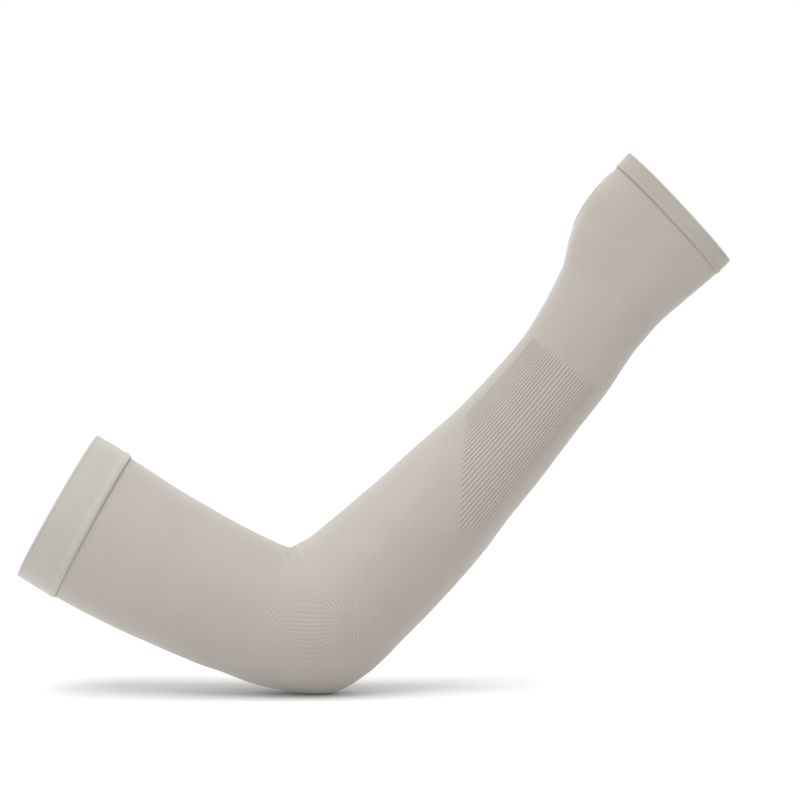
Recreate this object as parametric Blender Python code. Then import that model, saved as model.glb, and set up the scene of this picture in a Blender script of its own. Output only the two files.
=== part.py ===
"""A long knitted arm sleeve with a thumb hole, in the form that it takes on a bent arm.

Run it with: blender --background --python part.py

Metres, +Z up. The origin is the centre of the upper mouth, where the sleeve grips the upper
arm. The arm's route lies in the XZ plane: it falls from the mouth to the elbow and climbs to
the hand, towards +X. Seen along +Y, the back of the hand faces the viewer.

Every point of the sleeve is named by three numbers: how far along the route it lies, how far
round the arm, and how far out from the knit's outer face. Round the arm, 0 degrees is the
crook of the elbow and the thumb's side, 90 faces the viewer, 180 is the elbow's point and
the little finger's side, and 270 is the palm's side.
"""

import math
from collections import namedtuple

import bmesh
import bpy
from mathutils import Vector
from mathutils.bvhtree import BVHTree

# How the arm runs through the sleeve
UPPER_ARM_LENGTH = 0.142
FOREARM_LENGTH = 0.202
HAND_LENGTH = 0.1192
UPPER_ARM_HEADING = math.radians(-29.5)
UPPER_ARM_CURVE = math.radians(5.0)
ELBOW_BEND = math.radians(66.5)
FOREARM_CURVE = math.radians(9.0)
HAND_CURVE = math.radians(7.0)
CROOK_RADIUS = 0.0024

# Breadth in the plane of the bend and depth across it, at the fullest place of each limb
UPPER_ARM_WIDTH = 0.096
UPPER_ARM_DEPTH = 0.090
ELBOW_WIDTH = 0.0957
ELBOW_DEPTH = 0.080
FOREARM_WIDTH = 0.0845
FOREARM_DEPTH = 0.077
WRIST_WIDTH = 0.0605
WRIST_DEPTH = 0.044
HAND_WIDTH = 0.091
HAND_DEPTH = 0.036
HEM_SLANT = math.radians(-14.7)
HEM_BOW = 0.0011

# The knit and its edges
WALL = 0.0012
GAP = 0.0003
LAYER = 0.0009
CUFF_WIDTH = 0.0264
CUFF_THICKNESS = 0.0026
CUFF_RIDGE = 0.0021
CUFF_RIDGE_WIDTH = 0.0052
HEM_WIDTH = 0.0120
HEM_THICKNESS = 0.0022
HEM_RIDGE = 0.0013
HEM_RIDGE_WIDTH = 0.0030

# The thumb hole, measured along and across the hand
THUMB_HOLE_LENGTH = 0.042
THUMB_HOLE_WIDTH = 0.027
THUMB_HOLE_AROUND = math.radians(-27.0)
THUMB_HOLE_TO_HEM = 0.0015
BINDING_DIAMETER = 0.0020

# The panel of raised ribs on the outside of the forearm
RIB_COUNT = 30
RIB_HEIGHT = 0.0005
PANEL_FROM = math.radians(33.0)
PANEL_TO = math.radians(136.0)
PANEL_TOP_START = 0.68
PANEL_LOW_START = 0.40
PANEL_END = 1.0
PANEL_BOW = 0.024
PANEL_TURN = 0.806

# Dents and fullness of the cloth over the arm
CREASE_DEPTH = 0.0016
THUMB_PAD = 0.0055
PALM_HEEL = 0.0030
THUMB_ROOT = 0.0035

# How finely the knit is faceted
COLUMNS = 36
LINING_COLUMNS = 30
UPPER_ARM_RINGS = 11
ELBOW_RINGS = 14
FOREARM_RINGS = 6
PANEL_RINGS = 12
HAND_RINGS = 13
BINDING_POINTS = 36
CUTTER_POINTS = 48
BINDING_SIDES = 3

# The elbow turns about a point just outside its crook
CROOK_SHARE = 0.457
ELBOW_TURN_RADIUS = ELBOW_WIDTH * CROOK_SHARE + CROOK_RADIUS

Stretch = namedtuple("Stretch", "name length turn")
ROUTE = (
    Stretch("upper_arm", UPPER_ARM_LENGTH, UPPER_ARM_CURVE),
    Stretch("elbow", ELBOW_TURN_RADIUS * ELBOW_BEND, ELBOW_BEND),
    Stretch("forearm", FOREARM_LENGTH, FOREARM_CURVE),
    Stretch("hand", HAND_LENGTH, HAND_CURVE),
)
SLEEVE_LENGTH = sum(stretch.length for stretch in ROUTE)

Limb = namedtuple("Limb", "width depth")
LIMBS = {
    "upper_arm": Limb(UPPER_ARM_WIDTH, UPPER_ARM_DEPTH),
    "elbow": Limb(ELBOW_WIDTH, ELBOW_DEPTH),
    "forearm": Limb(FOREARM_WIDTH, FOREARM_DEPTH),
    "wrist": Limb(WRIST_WIDTH, WRIST_DEPTH),
    "hand": Limb(HAND_WIDTH, HAND_DEPTH),
}

# A row for each section. along is a share of its stretch. crook and back are the reach from
# the route to either side, as shares of the limb's width, and depth is a share of its depth.
# taper thins the back's side, slant is a share of the hem's slant and bow, and square is 2 for
# an ellipse and more for a flatter, squarer section.
Section = namedtuple("Section", "stretch along limb crook back depth taper slant square")
SECTIONS = (
    Section("upper_arm", 0.00, "upper_arm", 0.504, 0.511, 1.02, 0.00, 0.00, 2.00),
    Section("upper_arm", 0.20, "upper_arm", 0.495, 0.525, 1.00, 0.00, 0.00, 2.00),
    Section("upper_arm", 0.42, "upper_arm", 0.466, 0.526, 0.98, 0.00, 0.00, 2.00),
    Section("upper_arm", 0.63, "upper_arm", 0.446, 0.514, 0.95, 0.02, 0.00, 2.00),
    Section("upper_arm", 0.85, "upper_arm", 0.431, 0.499, 0.91, 0.04, 0.00, 2.00),
    Section("elbow", 0.00, "elbow", 0.436, 0.479, 1.00, 0.07, 0.00, 2.00),
    Section("elbow", 0.34, "elbow", 0.450, 0.497, 0.99, 0.12, 0.00, 2.00),
    Section("elbow", 0.60, "elbow", CROOK_SHARE, 0.541, 0.98, 0.16, 0.00, 2.00),
    Section("elbow", 0.82, "elbow", 0.446, 0.514, 0.99, 0.12, 0.00, 2.00),
    Section("forearm", 0.00, "elbow", 0.427, 0.488, 1.00, 0.06, 0.00, 2.00),
    Section("forearm", 0.17, "forearm", 0.459, 0.532, 1.00, 0.03, 0.00, 2.00),
    Section("forearm", 0.37, "forearm", 0.430, 0.501, 0.93, 0.02, 0.00, 2.04),
    Section("forearm", 0.52, "forearm", 0.405, 0.456, 0.83, 0.00, 0.00, 2.08),
    Section("forearm", 0.67, "forearm", 0.370, 0.428, 0.72, 0.00, 0.00, 2.12),
    Section("forearm", 0.87, "wrist", 0.492, 0.551, 1.06, 0.00, 0.00, 2.18),
    Section("hand", 0.00, "wrist", 0.495, 0.540, 1.00, 0.00, 0.00, 2.22),
    Section("hand", 0.23, "hand", 0.368, 0.333, 1.16, 0.02, 0.06, 2.26),
    Section("hand", 0.38, "hand", 0.412, 0.340, 1.15, 0.04, 0.26, 2.29),
    Section("hand", 0.49, "hand", 0.484, 0.354, 1.13, 0.06, 0.45, 2.32),
    Section("hand", 0.63, "hand", 0.534, 0.397, 1.08, 0.08, 0.68, 2.36),
    Section("hand", 0.74, "hand", 0.534, 0.435, 1.03, 0.08, 0.81, 2.40),
    Section("hand", 0.87, "hand", 0.503, 0.482, 0.97, 0.06, 0.93, 2.45),
    Section("hand", 1.00, "hand", 0.477, 0.522, 0.90, 0.04, 1.00, 2.50),
)

# Where the cloth stands out or is drawn in. length is a share of the stretch, around and
# spread are degrees.
Swell = namedtuple("Swell", "stretch along around height length spread")
SWELLS = (
    Swell("elbow", 0.48, 0, -CREASE_DEPTH, 0.20, 28),
    Swell("hand", 0.41, -55, THUMB_PAD, 0.24, 30),
    Swell("hand", 0.39, -118, PALM_HEEL, 0.22, 26),
    Swell("hand", 0.69, -32, THUMB_ROOT, 0.20, 20),
)

Material = namedtuple("Material", "colour roughness")
MATERIALS = {
    "knit": Material((0.46, 0.43, 0.39), 0.82),
    "cuff_knit": Material((0.50, 0.485, 0.44), 0.86),
    "hem_knit": Material((0.47, 0.445, 0.40), 0.84),
    "binding_yarn": Material((0.52, 0.50, 0.45), 0.80),
}


def start_of(name):
    """How far along the route a stretch starts."""
    along = 0.0
    for stretch in ROUTE:
        if stretch.name == name:
            return along
        along += stretch.length
    raise ValueError(name)


def along_of(name, share):
    """How far along the route a share of a stretch lies."""
    length = next(stretch.length for stretch in ROUTE if stretch.name == name)
    return start_of(name) + share * length


def route_at(along):
    """(point, heading) of the arm's middle line. Each stretch is an arc of a circle."""
    point, heading, left = Vector((0.0, 0.0, 0.0)), UPPER_ARM_HEADING, along
    for stretch in ROUTE:
        used = left if stretch is ROUTE[-1] else min(left, stretch.length)
        turned = stretch.turn * used / stretch.length
        chord = used * math.sin(turned / 2) / (turned / 2) if abs(turned) > 1e-9 else used
        middle = heading + turned / 2
        point += chord * Vector((math.cos(middle), 0.0, math.sin(middle)))
        heading += turned
        left -= used
        if left <= 0:
            break
    return point, heading


def section_sizes(row):
    """A row of SECTIONS in metres and radians."""
    limb = LIMBS[row.limb]
    return (
        row.crook * limb.width,
        row.back * limb.width,
        row.depth * limb.depth / 2,
        row.taper,
        row.slant,
        row.square,
    )


KNOTS = [(along_of(row.stretch, row.along), section_sizes(row)) for row in SECTIONS]


def section_at(along):
    """The section's sizes anywhere, on a smooth curve through the rows of SECTIONS."""
    along = min(max(along, KNOTS[0][0]), KNOTS[-1][0])
    k = max(i for i in range(len(KNOTS) - 1) if KNOTS[i][0] <= along + 1e-12)
    before, here, there, after = (
        KNOTS[min(max(i, 0), len(KNOTS) - 1)] for i in (k - 1, k, k + 1, k + 2)
    )
    span = there[0] - here[0]
    t = (along - here[0]) / span

    def blend(a, b, c, d):
        slope_b = (c - a) / max(there[0] - before[0], span) * span
        slope_c = (d - b) / max(after[0] - here[0], span) * span
        return (
            (2 * t**3 - 3 * t**2 + 1) * b
            + (t**3 - 2 * t**2 + t) * slope_b
            + (3 * t**2 - 2 * t**3) * c
            + (t**3 - t**2) * slope_c
        )

    return [blend(*values) for values in zip(before[1], here[1], there[1], after[1])]


def swell_at(along, around):
    """How far the cloth stands out from the plain section."""
    height = 0.0
    for swell in SWELLS:
        length = swell.length * next(s.length for s in ROUTE if s.name == swell.stretch)
        forward = (along - along_of(swell.stretch, swell.along)) / length
        turn = math.degrees(around) - swell.around
        sideways = ((turn + 180) % 360 - 180) / swell.spread
        height += swell.height * math.exp(-(forward**2) - sideways**2)
    return height


def outline(sizes, around):
    """The plain section at an angle, as (towards the crook, towards the viewer)."""
    crook, back, half_depth, taper, _, square = sizes
    c, s = math.cos(around), math.sin(around)
    reach = crook if c > 0 else back
    power = 2 / square
    x = math.copysign(abs(c) ** power, c) * reach
    y = math.copysign(abs(s) ** power, s) * half_depth * (1 + taper * math.copysign(c * c, c))
    return x, y


def skin(along, around, out=0.0):
    """The point of the sleeve that is that far along, round and out."""
    sizes = section_at(along)
    slant = sizes[4]
    point, heading = route_at(along)
    facing = heading + slant * HEM_SLANT
    forward = Vector((math.cos(facing), 0.0, math.sin(facing)))
    point += forward * (slant * HEM_BOW * math.sin(around) ** 2)
    to_crook = Vector((-math.sin(facing), 0.0, math.cos(facing)))
    to_viewer = Vector((0.0, -1.0, 0.0))
    step = math.radians(2.0)
    x, y = outline(sizes, around)
    x0, y0 = outline(sizes, around - step)
    x1, y1 = outline(sizes, around + step)
    away = Vector((y1 - y0, x0 - x1)).normalized()
    lift = out + swell_at(along, around)
    return point + to_crook * (x + away.x * lift) + to_viewer * (y + away.y * lift)


def ring(along, angles, out=0.0, lift=None):
    """One turn round the sleeve, as (angle, point) pairs. lift adds height by angle."""
    return [(a, skin(along, a, out + (lift(along, a) if lift else 0.0))) for a in angles]


def turn_angles(count):
    return [2 * math.pi * i / count for i in range(count)]


def zip_rings(mesh, first, second):
    """Fills between two turns, which may hold different numbers of points."""
    i = j = 0
    full = 2 * math.pi
    while i < len(first) or j < len(second):
        next_first = first[i + 1][0] if i + 1 < len(first) else full
        next_second = second[j + 1][0] if j + 1 < len(second) else full
        if i == len(first):
            next_first = 2 * full
        if j == len(second):
            next_second = 2 * full
        a, b = first[i % len(first)][1], second[j % len(second)][1]
        c, d = first[(i + 1) % len(first)][1], second[(j + 1) % len(second)][1]
        if abs(next_first - next_second) < 1e-6:
            mesh.faces.new((a, c, d, b))
            i, j = i + 1, j + 1
        elif next_first < next_second:
            mesh.faces.new((a, c, b))
            i += 1
        else:
            mesh.faces.new((a, d, b))
            j += 1


def shell_of(rings):
    """A closed shell through turns that run over its outside and back along its inside."""
    mesh = bmesh.new()
    turns = [[(a, mesh.verts.new(p)) for a, p in turn] for turn in rings]
    for first, second in zip(turns, turns[1:] + turns[:1]):
        zip_rings(mesh, first, second)
    bmesh.ops.recalc_face_normals(mesh, faces=mesh.faces)
    return mesh


def material_of(name):
    made = bpy.data.materials.new(name)
    made.use_nodes = True
    surface = made.node_tree.nodes["Principled BSDF"]
    surface.inputs["Base Color"].default_value = (*MATERIALS[name].colour, 1.0)
    surface.inputs["Roughness"].default_value = MATERIALS[name].roughness
    surface.inputs["Metallic"].default_value = 0.0
    return made


def place(name, data, material):
    """Adds the finished data to the scene as one named object."""
    thing = bpy.data.objects.new(name, data)
    bpy.context.scene.collection.objects.link(thing)
    if material:
        thing.data.materials.append(material_of(material))
    return thing


def object_from(name, mesh, material=None):
    data = bpy.data.meshes.new(name)
    mesh.to_mesh(data)
    mesh.free()
    data.shade_smooth()
    data.set_sharp_from_angle(angle=math.radians(50))
    return place(name, data, material)


def panel_start(around):
    """Where the ribs begin: a bowed edge that slants down, then turns back near its foot."""
    share = (around - PANEL_FROM) / (PANEL_TO - PANEL_FROM)
    fall = PANEL_TOP_START - PANEL_LOW_START
    if share <= PANEL_TURN:
        t = share / PANEL_TURN
        start = PANEL_TOP_START - fall * t + PANEL_BOW * 4 * t * (1 - t)
    else:
        start = PANEL_LOW_START + fall * (share - PANEL_TURN)
    return along_of("forearm", start)


def panel_angles():
    """The angles of the ribs' troughs and crests, in turn."""
    steps = 2 * RIB_COUNT
    return [PANEL_FROM + (PANEL_TO - PANEL_FROM) * k / steps for k in range(steps + 1)]


def rib_lift(along, around):
    """The height of the ribs: crests lie halfway between troughs."""
    if not PANEL_FROM < around < PANEL_TO:
        return 0.0
    if not panel_start(around) <= along <= along_of("forearm", PANEL_END):
        return 0.0
    phase = (around - PANEL_FROM) / (PANEL_TO - PANEL_FROM) * RIB_COUNT
    return RIB_HEIGHT * math.sin(math.pi * phase) ** 2


def tube_start():
    """The knit's upper end, tucked into the cuff's groove."""
    return CUFF_WIDTH - CUFF_RIDGE_WIDTH + GAP


def tube_end():
    """The knit's lower end, tucked into the hem's groove."""
    return SLEEVE_LENGTH - HEM_WIDTH + HEM_RIDGE_WIDTH - GAP


def even(start, end, count):
    """count places from start up to, but not at, end."""
    return [start + (end - start) * i / count for i in range(count)]


def stations():
    """Where the knit's turns lie, closer together where it bends most."""
    elbow, forearm, hand = (start_of(name) for name in ("elbow", "forearm", "hand"))
    panel = along_of("forearm", PANEL_LOW_START)
    return (
        even(tube_start(), elbow, UPPER_ARM_RINGS)
        + even(elbow, forearm, ELBOW_RINGS)
        + even(forearm, panel, FOREARM_RINGS)
        + even(panel, hand, PANEL_RINGS)
        + even(hand, tube_end(), HAND_RINGS)
        + [tube_end()]
    )


def knit_tube():
    """The seamless knitted tube, with its ribs raised and the thumb hole still closed."""
    plain = turn_angles(COLUMNS)
    first, last = along_of("forearm", PANEL_LOW_START), along_of("forearm", PANEL_END)
    beside = [a for a in plain if a < PANEL_FROM - 0.03 or a > PANEL_TO + 0.03]
    ribbed = sorted(beside + panel_angles())
    outside = [
        ring(s, ribbed if first - 1e-9 <= s <= last + 1e-9 else plain, lift=rib_lift)
        for s in stations()
    ]
    inside = [ring(s, turn_angles(LINING_COLUMNS), -WALL) for s in stations()]
    return shell_of(outside + inside[::-1])


Hole = namedtuple("Hole", "centre along across out")


def thumb_hole():
    """The hole's centre on the knit, and its directions."""
    seam = SLEEVE_LENGTH - HEM_WIDTH
    half = THUMB_HOLE_LENGTH / 2 + BINDING_DIAMETER + THUMB_HOLE_TO_HEM
    # The turns fan out on the thumb's side, so the way along the skin is measured there.
    pace = (skin(seam, THUMB_HOLE_AROUND) - skin(seam - half, THUMB_HOLE_AROUND)).length
    centre_at = seam - half * half / pace
    centre = skin(centre_at, THUMB_HOLE_AROUND)
    step = 0.004
    along = skin(centre_at + step, THUMB_HOLE_AROUND) - skin(centre_at - step, THUMB_HOLE_AROUND)
    turn = math.radians(4.0)
    across = skin(centre_at, THUMB_HOLE_AROUND + turn) - skin(centre_at, THUMB_HOLE_AROUND - turn)
    along.normalize()
    out = across.cross(along).normalized()
    across = along.cross(out).normalized()
    if out.dot(centre - route_at(centre_at)[0]) < 0:
        out = -out
    return Hole(centre, along, across, out)


def oval(hole, grow, count):
    """Points of the hole's oval, grown all round, on the plane that touches its centre."""
    half_length = THUMB_HOLE_LENGTH / 2 + grow
    half_width = THUMB_HOLE_WIDTH / 2 + grow
    for i in range(count):
        angle = 2 * math.pi * i / count
        yield (
            hole.centre
            + hole.along * (half_length * math.cos(angle))
            + hole.across * (half_width * math.sin(angle))
        )


def thumb_cutter(hole):
    """A straight prism that opens the hole, as wide as its binding and the gap around it."""
    grow = BINDING_DIAMETER / 2 + GAP
    above = THUMB_HOLE_WIDTH * 0.5
    below = THUMB_HOLE_WIDTH * 0.45
    mesh = bmesh.new()
    bottom = [mesh.verts.new(p - hole.out * below) for p in oval(hole, grow, CUTTER_POINTS)]
    floor = mesh.faces.new(bottom)
    raised = bmesh.ops.extrude_face_region(mesh, geom=[floor])
    top = [g for g in raised["geom"] if isinstance(g, bmesh.types.BMVert)]
    bmesh.ops.translate(mesh, verts=top, vec=hole.out * (above + below))
    bmesh.ops.recalc_face_normals(mesh, faces=mesh.faces)
    cutter = object_from("thumb_hole_cutter", mesh)
    cutter.hide_render = True
    cutter.display_type = "WIRE"
    return cutter


def thumb_binding(hole, knit):
    """The rolled edge of the thumb hole: a soft cord laid on the knit, all round the oval."""
    tree = BVHTree.FromBMesh(knit)
    data = bpy.data.curves.new("thumb_hole_binding", "CURVE")
    data.dimensions = "3D"
    data.bevel_depth = BINDING_DIAMETER / 2
    data.bevel_resolution = BINDING_SIDES
    data.use_fill_caps = True
    line = data.splines.new("POLY")
    line.points.add(BINDING_POINTS - 1)
    line.use_cyclic_u = True
    for point, on_plane in zip(line.points, oval(hole, 0.0, BINDING_POINTS)):
        hit = tree.ray_cast(on_plane + hole.out * THUMB_HOLE_WIDTH, -hole.out)[0]
        point.co = (*(hit - hole.out * (WALL / 2)), 1.0)
    return place("thumb_hole_binding", data, "binding_yarn")


def edge_band(name, profile, material):
    """A band swept round the sleeve. Its profile lists (along, out), round its section."""
    angles = turn_angles(COLUMNS)
    return object_from(name, shell_of([ring(s, angles, out) for s, out in profile]), material)


def folded_profile(edge, into, width, thickness, ridge, ridge_width):
    """The section of a folded band that grips the knit's end in a groove along its seam.

    edge is where the band ends, into is +1 where the knit lies further along and -1 where
    it lies further back.
    """
    outer = ridge - LAYER / 2
    inner = outer - thickness
    seam = width - ridge_width
    lining = -WALL - GAP - LAYER
    soft = thickness * 0.28
    shape = (
        (soft, outer),
        (seam - soft, outer),
        (seam + soft, ridge),
        (width - soft, ridge),
        (width, ridge - soft),
        (width, GAP),
        (seam, GAP),
        (seam, -WALL - GAP),
        (width, -WALL - GAP),
        (width, lining),
        (seam - soft, min(inner, lining)),
        (soft, inner),
        (0.0, inner + soft),
        (0.0, outer - soft),
    )
    return [(edge + into * s, out) for s, out in shape]


def cuff_band():
    """The wide folded band that grips the upper arm."""
    profile = folded_profile(
        0.0, 1, CUFF_WIDTH, CUFF_THICKNESS, CUFF_RIDGE, CUFF_RIDGE_WIDTH
    )
    return edge_band("cuff_band", profile, "cuff_knit")


def hand_hem():
    """The narrow turned hem across the hand, which bridges thumb and finger."""
    profile = folded_profile(
        SLEEVE_LENGTH, -1, HEM_WIDTH, HEM_THICKNESS, HEM_RIDGE, HEM_RIDGE_WIDTH
    )
    return edge_band("hand_hem", profile, "hem_knit")


def sleeve_tube():
    """The knitted tube with its thumb hole, and the hole's binding."""
    hole = thumb_hole()
    knit = knit_tube()
    thumb_binding(hole, knit)
    tube = object_from("sleeve_tube", knit, "knit")
    cut = tube.modifiers.new("thumb_hole", "BOOLEAN")
    cut.operation = "DIFFERENCE"
    cut.object = thumb_cutter(hole)
    return tube


def main():
    for thing in list(bpy.data.objects):
        bpy.data.objects.remove(thing)
    sleeve_tube()
    cuff_band()
    hand_hem()


main()
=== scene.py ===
# %% [markdown]
# # A knitted arm sleeve
# This notebook dresses a plain model of a long arm sleeve until it looks like fine stretch knit.
# The plain model gives the true size and place of everything, so it is loaded first and never
# changed. Each new piece is laid where the plain one is, and then stands in for it.

# %% Load the plain model
import math
from collections import namedtuple

import bmesh
import bpy
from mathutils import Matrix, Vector, noise
from mathutils.bvhtree import BVHTree


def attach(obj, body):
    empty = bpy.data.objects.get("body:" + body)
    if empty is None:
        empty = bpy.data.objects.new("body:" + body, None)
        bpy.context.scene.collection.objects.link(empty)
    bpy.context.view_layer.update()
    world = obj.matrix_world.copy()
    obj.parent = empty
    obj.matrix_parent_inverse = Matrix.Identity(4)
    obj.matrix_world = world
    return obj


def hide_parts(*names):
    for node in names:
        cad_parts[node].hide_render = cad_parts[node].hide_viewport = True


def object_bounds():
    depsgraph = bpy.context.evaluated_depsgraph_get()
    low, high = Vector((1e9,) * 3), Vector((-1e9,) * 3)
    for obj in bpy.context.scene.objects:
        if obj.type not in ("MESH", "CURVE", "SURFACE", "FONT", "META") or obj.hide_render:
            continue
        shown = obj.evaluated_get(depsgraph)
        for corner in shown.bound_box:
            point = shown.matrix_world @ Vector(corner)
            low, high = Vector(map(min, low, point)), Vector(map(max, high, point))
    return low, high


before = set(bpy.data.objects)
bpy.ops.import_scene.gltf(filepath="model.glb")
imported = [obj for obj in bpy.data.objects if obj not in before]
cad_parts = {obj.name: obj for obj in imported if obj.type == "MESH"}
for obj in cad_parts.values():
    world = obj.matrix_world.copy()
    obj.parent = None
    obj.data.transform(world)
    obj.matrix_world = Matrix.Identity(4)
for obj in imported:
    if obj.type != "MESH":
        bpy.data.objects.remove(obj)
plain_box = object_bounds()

print("plain model:", sorted(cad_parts), [tuple(round(v, 4) for v in c) for c in plain_box])

# %% [markdown]
# ## The line along the middle
# Stretch knit has no shape of its own: it takes the shape of what fills it. That could be drawn
# as a curve object, but then the knit's rows wouldn't know where the elbow is. Here the middle
# line is four arcs, one after another, and every place on the sleeve is named by how far along
# that line it lies, how far round, and how far out. Going round, 0 degrees is the crook and the
# thumb's side, 90 the side that faces the camera, 180 the elbow's point.

# %% The middle line
UPPER_ARM_LENGTH = 0.142
FOREARM_LENGTH = 0.202
HAND_LENGTH = 0.1192
UPPER_ARM_HEADING = math.radians(-29.5)
UPPER_ARM_CURVE = math.radians(5.0)
ELBOW_BEND = math.radians(66.5)
FOREARM_CURVE = math.radians(9.0)
HAND_CURVE = math.radians(7.0)
CROOK_SHARE = 0.457
ELBOW_WIDTH = 0.0957
CROOK_RADIUS = 0.0024
ELBOW_TURN_RADIUS = ELBOW_WIDTH * CROOK_SHARE + CROOK_RADIUS

Stretch = namedtuple("Stretch", "name length turn")
ROUTE = (
    Stretch("upper_arm", UPPER_ARM_LENGTH, UPPER_ARM_CURVE),
    Stretch("elbow", ELBOW_TURN_RADIUS * ELBOW_BEND, ELBOW_BEND),
    Stretch("forearm", FOREARM_LENGTH, FOREARM_CURVE),
    Stretch("hand", HAND_LENGTH, HAND_CURVE),
)
SLEEVE_LENGTH = sum(stretch.length for stretch in ROUTE)


def along_of(name, share):
    """How far along the middle line a share of a stretch lies."""
    before = 0.0
    for stretch in ROUTE:
        if stretch.name == name:
            return before + share * stretch.length
        before += stretch.length
    raise ValueError(name)


def route_at(along):
    """(point, heading) on the middle line."""
    point, heading, left = Vector((0.0, 0.0, 0.0)), UPPER_ARM_HEADING, along
    for stretch in ROUTE:
        used = left if stretch is ROUTE[-1] else min(left, stretch.length)
        turned = stretch.turn * used / stretch.length
        chord = used * math.sin(turned / 2) / (turned / 2) if abs(turned) > 1e-9 else used
        middle = heading + turned / 2
        point += chord * Vector((math.cos(middle), 0.0, math.sin(middle)))
        heading += turned
        left -= used
        if left <= 0:
            break
    return point, heading


print(f"middle line {SLEEVE_LENGTH * 1000:.1f} mm, ends at {tuple(route_at(SLEEVE_LENGTH)[0])}")

# %% [markdown]
# ## Sections of the sleeve
# The filled sleeve is neither round nor even: it is deepest at the elbow's point, flat at the
# wrist and broad at the knuckles. A row of this table is one slice. Its reach to the crook's
# side and to the back is a share of the limb's width, so the same few sizes drive the whole
# form, and a smooth curve is drawn through the rows.

# %% The table of sections
Limb = namedtuple("Limb", "width depth")
LIMBS = {
    "upper_arm": Limb(0.096, 0.090),
    "elbow": Limb(ELBOW_WIDTH, 0.080),
    "forearm": Limb(0.0845, 0.077),
    "wrist": Limb(0.0605, 0.044),
    "hand": Limb(0.091, 0.036),
}
HEM_SLANT = math.radians(-14.7)
HEM_BOW = 0.0011

Section = namedtuple("Section", "stretch along limb crook back depth taper slant square")
SECTIONS = (
    Section("upper_arm", 0.00, "upper_arm", 0.504, 0.511, 1.02, 0.00, 0.00, 2.00),
    Section("upper_arm", 0.20, "upper_arm", 0.495, 0.525, 1.00, 0.00, 0.00, 2.00),
    Section("upper_arm", 0.42, "upper_arm", 0.466, 0.526, 0.98, 0.00, 0.00, 2.00),
    Section("upper_arm", 0.63, "upper_arm", 0.446, 0.514, 0.95, 0.02, 0.00, 2.00),
    Section("upper_arm", 0.85, "upper_arm", 0.431, 0.499, 0.91, 0.04, 0.00, 2.00),
    Section("elbow", 0.00, "elbow", 0.436, 0.479, 1.00, 0.07, 0.00, 2.00),
    Section("elbow", 0.34, "elbow", 0.450, 0.497, 0.99, 0.12, 0.00, 2.00),
    Section("elbow", 0.60, "elbow", CROOK_SHARE, 0.541, 0.98, 0.16, 0.00, 2.00),
    Section("elbow", 0.82, "elbow", 0.446, 0.514, 0.99, 0.12, 0.00, 2.00),
    Section("forearm", 0.00, "elbow", 0.427, 0.488, 1.00, 0.06, 0.00, 2.00),
    Section("forearm", 0.17, "forearm", 0.459, 0.532, 1.00, 0.03, 0.00, 2.00),
    Section("forearm", 0.37, "forearm", 0.430, 0.501, 0.93, 0.02, 0.00, 2.04),
    Section("forearm", 0.52, "forearm", 0.405, 0.456, 0.83, 0.00, 0.00, 2.08),
    Section("forearm", 0.67, "forearm", 0.370, 0.428, 0.72, 0.00, 0.00, 2.12),
    Section("forearm", 0.87, "wrist", 0.492, 0.551, 1.06, 0.00, 0.00, 2.18),
    Section("hand", 0.00, "wrist", 0.495, 0.540, 1.00, 0.00, 0.00, 2.22),
    Section("hand", 0.23, "hand", 0.368, 0.333, 1.16, 0.02, 0.06, 2.26),
    Section("hand", 0.38, "hand", 0.412, 0.340, 1.15, 0.04, 0.26, 2.29),
    Section("hand", 0.49, "hand", 0.484, 0.354, 1.13, 0.06, 0.45, 2.32),
    Section("hand", 0.63, "hand", 0.534, 0.397, 1.08, 0.08, 0.68, 2.36),
    Section("hand", 0.74, "hand", 0.534, 0.435, 1.03, 0.08, 0.81, 2.40),
    Section("hand", 0.87, "hand", 0.503, 0.482, 0.97, 0.06, 0.93, 2.45),
    Section("hand", 1.00, "hand", 0.477, 0.522, 0.90, 0.04, 1.00, 2.50),
)


def section_sizes(row):
    """A row in metres: reach to the crook, to the back and to the viewer, and its form."""
    limb = LIMBS[row.limb]
    reach = (row.crook * limb.width, row.back * limb.width, row.depth * limb.depth / 2)
    return reach + (row.taper, row.slant, row.square)


KNOTS = [(along_of(row.stretch, row.along), section_sizes(row)) for row in SECTIONS]


def section_at(along):
    """The section's sizes anywhere along the sleeve, on a smooth curve through the rows."""
    along = min(max(along, KNOTS[0][0]), KNOTS[-1][0])
    k = max(i for i in range(len(KNOTS) - 1) if KNOTS[i][0] <= along + 1e-12)
    before, here, there, after = (
        KNOTS[min(max(i, 0), len(KNOTS) - 1)] for i in (k - 1, k, k + 1, k + 2)
    )
    span = there[0] - here[0]
    t = (along - here[0]) / span
    steep = span / max(there[0] - before[0], span)
    steep_after = span / max(after[0] - here[0], span)
    weights = (2 * t**3 - 3 * t**2 + 1, t**3 - 2 * t**2 + t, 3 * t**2 - 2 * t**3, t**3 - t**2)
    return [
        weights[0] * b
        + weights[1] * (c - a) * steep
        + weights[2] * c
        + weights[3] * (d - b) * steep_after
        for a, b, c, d in zip(before[1], here[1], there[1], after[1])
    ]


print("sections at the wrist:", [round(v, 4) for v in section_at(along_of("hand", 0.0))[:3]])

# %% [markdown]
# ## Dents, pads and folds
# Knit on a bent elbow is drawn in at the crook, and it stands out at the ball of the thumb.
# Sculpting would do it by hand; a short table does it the same way each time. Each row is a soft
# mound or hollow, and lean lets a fold run aslant. The last rows are the creases at the crook.

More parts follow.
